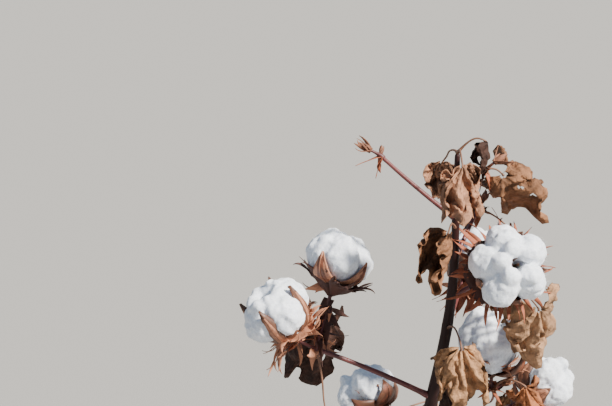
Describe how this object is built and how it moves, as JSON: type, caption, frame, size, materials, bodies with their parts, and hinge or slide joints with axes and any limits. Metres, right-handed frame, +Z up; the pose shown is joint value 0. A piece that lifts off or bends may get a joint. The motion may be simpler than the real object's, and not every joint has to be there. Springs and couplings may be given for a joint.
{
  "type": "cotton plant",
  "caption": "Ripe cotton plant on its own stem, with red-brown branches, open white bolls and dry hanging leaves.",
  "frame": {"origin": "middle of the flat cut where the main stem meets the ground", "axes": "+Z up along the main stem, -Y towards the side that the picture shows, +X to that picture's right"},
  "size_m": [0.3907, 0.3658, 0.753],
  "materials": {
    "bark": "dark red-brown, slightly glossy, ridged",
    "shoot": "white matte lint on brown burs, with dry leaves",
    "leaf": "dry, crumpled, matte"
  },
  "bodies": {
    "root": {"limb_01": "bark", "limb_02": "bark", "limb_03": "bark", "limb_04": "bark", "limb_05": "bark", "limb_06": "bark", "limb_07": "bark", "limb_08": "bark", "limb_09": "bark", "limb_10": "bark", "limb_11": "bark", "limb_12": "bark", "limb_13": "bark", "limb_14": "bark", "limb_15": "bark", "limb_16": "bark", "shoot_01": "shoot", "shoot_02": "shoot", "shoot_03": "shoot", "shoot_04": "shoot", "shoot_05": "shoot", "shoot_06": "shoot", "shoot_07": "shoot", "shoot_08": "shoot", "shoot_09": "shoot", "shoot_10": "shoot", "shoot_11": "shoot", "shoot_12": "shoot", "shoot_13": "shoot", "shoot_14": "shoot", "shoot_15": "shoot", "shoot_16": "shoot", "stem": "bark", "stem_leaf_01": "leaf", "stem_leaf_02": "leaf", "stem_leaf_03": "leaf", "stem_leaf_04": "leaf", "stem_leaf_05": "leaf", "stem_leaf_06": "leaf", "stem_leaf_07": "leaf", "stem_leaf_08": "leaf", "stem_leaf_09": "leaf", "stem_leaf_10": "leaf", "stem_leaf_12": "leaf", "stem_leaf_15": "leaf", "tip_leaves": "leaf"}
  },
  "joints": []
}
